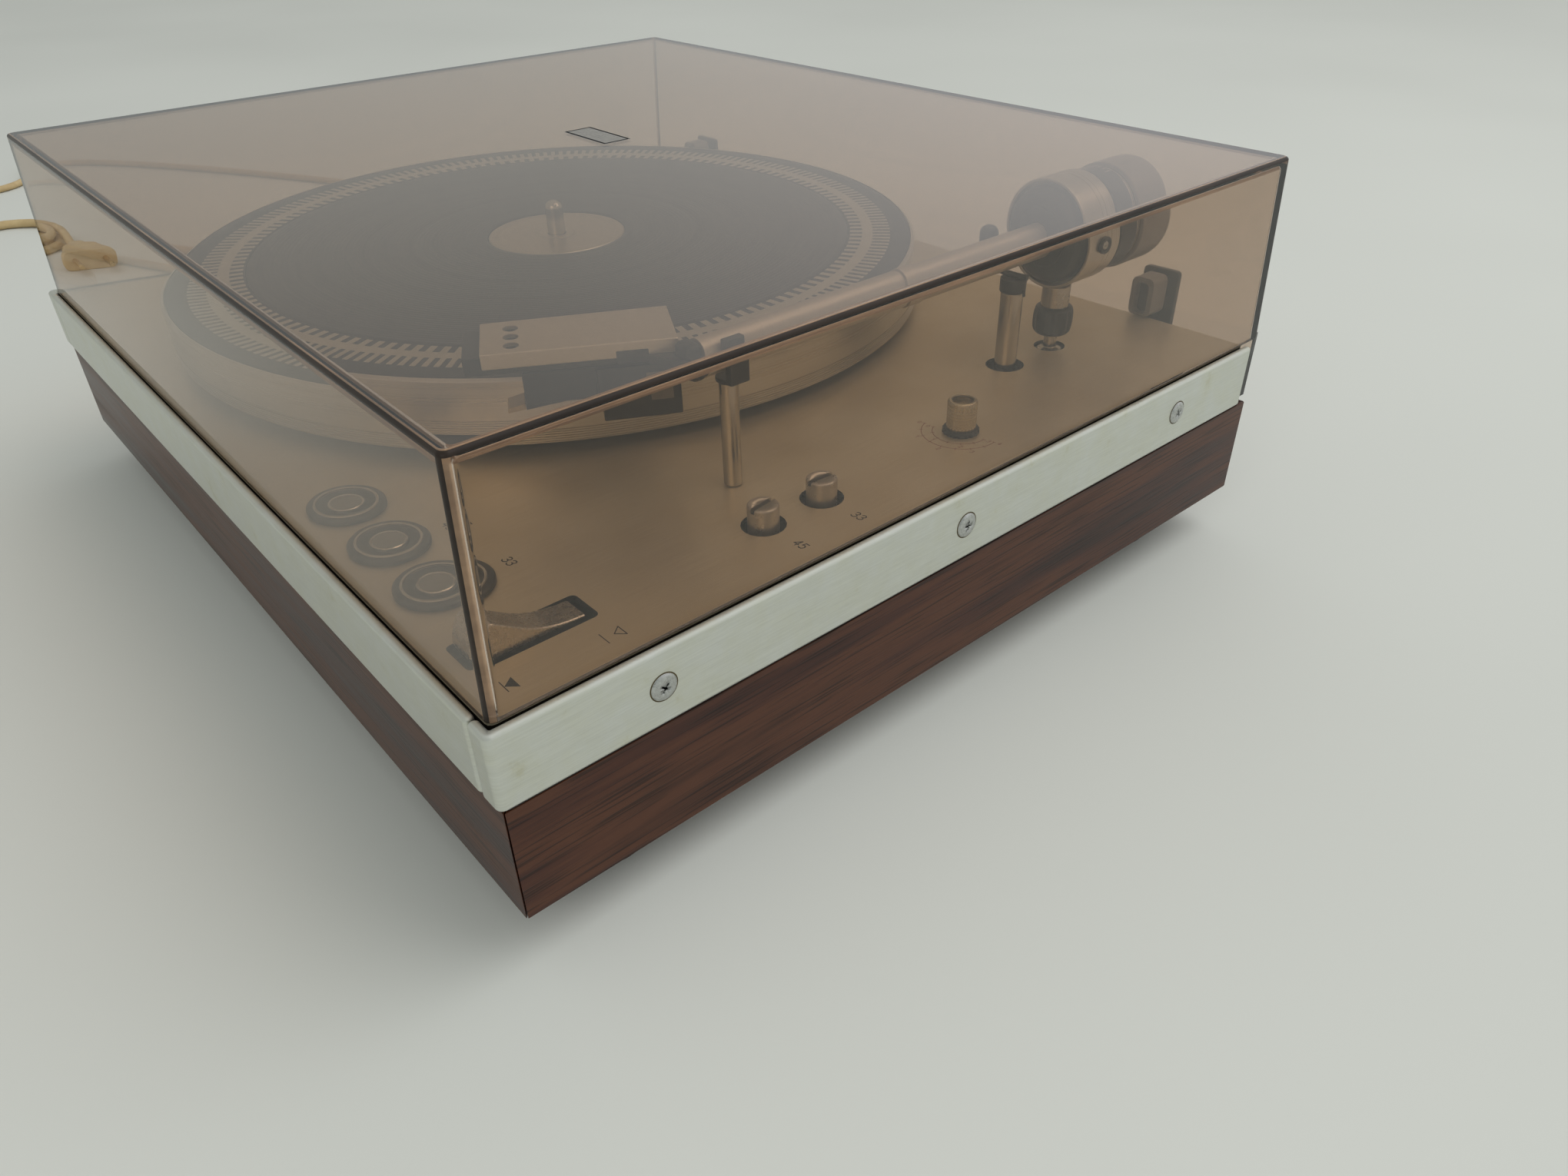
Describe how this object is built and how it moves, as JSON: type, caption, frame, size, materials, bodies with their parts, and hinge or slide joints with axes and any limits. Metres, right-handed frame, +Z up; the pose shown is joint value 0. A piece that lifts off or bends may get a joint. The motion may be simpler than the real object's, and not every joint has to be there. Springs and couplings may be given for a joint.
{
  "type": "belt drive turntable",
  "caption": "Belt drive turntable with a wooden plinth, aluminium trim, sprung subchassis, straight arm, deck controls, hinged clear cover and two leads.",
  "frame": {"origin": "on the floor under the middle of the plinth, hinges included and leads left out", "axes": "+X to the right along the front, +Y from the listener to the rear, +Z up"},
  "size_m": [1.0473, 0.5068, 0.1458],
  "materials": {
    "veneer": "satin lacquered dark veneer",
    "hardboard": "raw hardboard",
    "rubber": "matte black",
    "black_plastic": "satin black moulded",
    "deck_metal": "fine silver grey paint",
    "trim_metal": "brushed and anodised",
    "cast_aluminium": "turned satin",
    "satin_aluminium": "satin anodised",
    "zinc": "plated zinc casting",
    "steel": "plated, plain",
    "painted_steel": "black paint",
    "brass": "turned",
    "board_laminate": "green laminate",
    "weight_metal": "satin grey",
    "clear_acrylic": "clear moulded acrylic with a warm tint",
    "lead_vinyl": "beige vinyl"
  },
  "bodies": {
    "plinth": {"board_front": "veneer", "board_left": "veneer", "board_right": "veneer", "board_rear": "veneer", "bottom_cover": "hardboard", "foot_front_left": "rubber", "foot_front_right": "rubber", "foot_rear_left": "rubber", "foot_rear_right": "rubber", "top_frame": "black_plastic", "deck_plate": "deck_metal", "trim_front": "trim_metal", "trim_left": "trim_metal", "trim_right": "trim_metal", "motor": "zinc", "transformer": "steel", "circuit_board": "board_laminate", "touch_pad_stop": "satin_aluminium", "touch_pad_45": "satin_aluminium", "touch_pad_33": "satin_aluminium", "rest_post": "steel", "rest_clip": "black_plastic", "hinge_base_left": "painted_steel", "hinge_base_right": "painted_steel", "cable_outlet": "rubber", "mains_lead": "lead_vinyl", "mains_coil": "lead_vinyl", "mains_plug": "lead_vinyl", "signal_lead": "lead_vinyl", "signal_coil": "lead_vinyl", "signal_plug": "black_plastic"},
    "suspended_chassis": {"subchassis": "steel", "suspension_spring_1": "steel", "suspension_spring_2": "steel", "suspension_spring_3": "steel", "main_bearing": "steel", "lift_post": "zinc", "arm_column": "steel", "drive_belt": "rubber"},
    "turning_platter": {"platter": "cast_aluminium", "platter_mat": "rubber", "centre_disc": "satin_aluminium", "inner_platter": "zinc"},
    "pulley": {"motor_pulley": "brass"},
    "yoke": {"arm_yoke": "satin_aluminium"},
    "arm": {"arm_tube": "satin_aluminium", "arm_housing": "black_plastic", "headshell": "satin_aluminium", "cartridge_carrier": "black_plastic", "cartridge": "black_plastic"},
    "weight": {"counterweight": "weight_metal"},
    "force_scale": {"scale_ring": "black_plastic"},
    "lever": {"cue_lever": "satin_aluminium"},
    "lift": {"lift_bar": "black_plastic"},
    "antiskate": {"antiskate_knob": "brass"},
    "trimmer_45": {"speed_trimmer_45": "zinc"},
    "trimmer_33": {"speed_trimmer_33": "zinc"},
    "cover": {"dust_cover": "clear_acrylic", "hinge_arm_left": "painted_steel", "hinge_arm_right": "painted_steel"}
  },
  "joints": [
    {"name": "suspension_float", "type": "slide", "parent": "plinth", "child": "suspended_chassis", "axis": [0, 0, 1], "range_m": [-0.0015, 0.0015], "stiffness_N_per_m": 2400, "springref_m": 0.01306, "deforming": ["suspension_spring_1", "suspension_spring_2", "suspension_spring_3"]},
    {"name": "platter_spin", "type": "hinge", "parent": "suspended_chassis", "child": "turning_platter", "pos_m": [-0.0375, -0.002, 0.082], "axis": [0, 0, 1], "continuous": true},
    {"name": "pulley_spin", "type": "hinge", "parent": "plinth", "child": "pulley", "pos_m": [-0.1235, -0.0622, 0.083], "axis": [0, 0, 1], "continuous": true},
    {"name": "arm_yaw", "type": "hinge", "parent": "suspended_chassis", "child": "yoke", "pos_m": [0.139, 0.1, 0.104], "axis": [0, 0, -1], "range_deg": [0, 38]},
    {"name": "arm_pitch", "type": "hinge", "parent": "yoke", "child": "arm", "pos_m": [0.139, 0.1, 0.122], "axis": [-1, 0, 0], "range_deg": [0, 4.5]},
    {"name": "weight_slide", "type": "slide", "parent": "arm", "child": "weight", "axis": [0, 1, 0], "range_m": [0, 0.008]},
    {"name": "force_scale_turn", "type": "hinge", "parent": "arm", "child": "force_scale", "pos_m": [0.139, 0.116, 0.122], "axis": [0, 1, 0], "range_deg": [0, 300]},
    {"name": "cue_lever_tilt", "type": "hinge", "parent": "plinth", "child": "lever", "pos_m": [0.1642, -0.139, 0.0764], "axis": [1, 0, 0], "range_deg": [0, 22]},
    {"name": "lift_raise", "type": "slide", "parent": "suspended_chassis", "child": "lift", "axis": [0, 0, 1], "range_m": [0, 0.0018]},
    {"name": "antiskate_turn", "type": "hinge", "parent": "plinth", "child": "antiskate", "pos_m": [0.1644, 0.0212, 0.08], "axis": [0, 0, -1], "range_deg": [0, 270]},
    {"name": "trimmer_45_turn", "type": "hinge", "parent": "plinth", "child": "trimmer_45", "pos_m": [0.1652, -0.0636, 0.08], "axis": [0, 0, -1], "range_deg": [-135, 135]},
    {"name": "trimmer_33_turn", "type": "hinge", "parent": "plinth", "child": "trimmer_33", "pos_m": [0.1652, -0.0411, 0.08], "axis": [0, 0, -1], "range_deg": [-135, 135]},
    {"name": "cover_open", "type": "hinge", "parent": "plinth", "child": "cover", "pos_m": [0, 0.163, 0.063], "axis": [-1, 0, 0], "range_deg": [0, 65]}
  ],
  "couplings": [
    {"joint": "pulley_spin", "follows": "platter_spin", "ratio": 12.5},
    {"joint": "force_scale_turn", "follows": "weight_slide", "rad_per_m": 654},
    {"joint": "cue_lever_tilt", "follows": "lift_raise", "rad_per_m": 213.3}
  ]
}
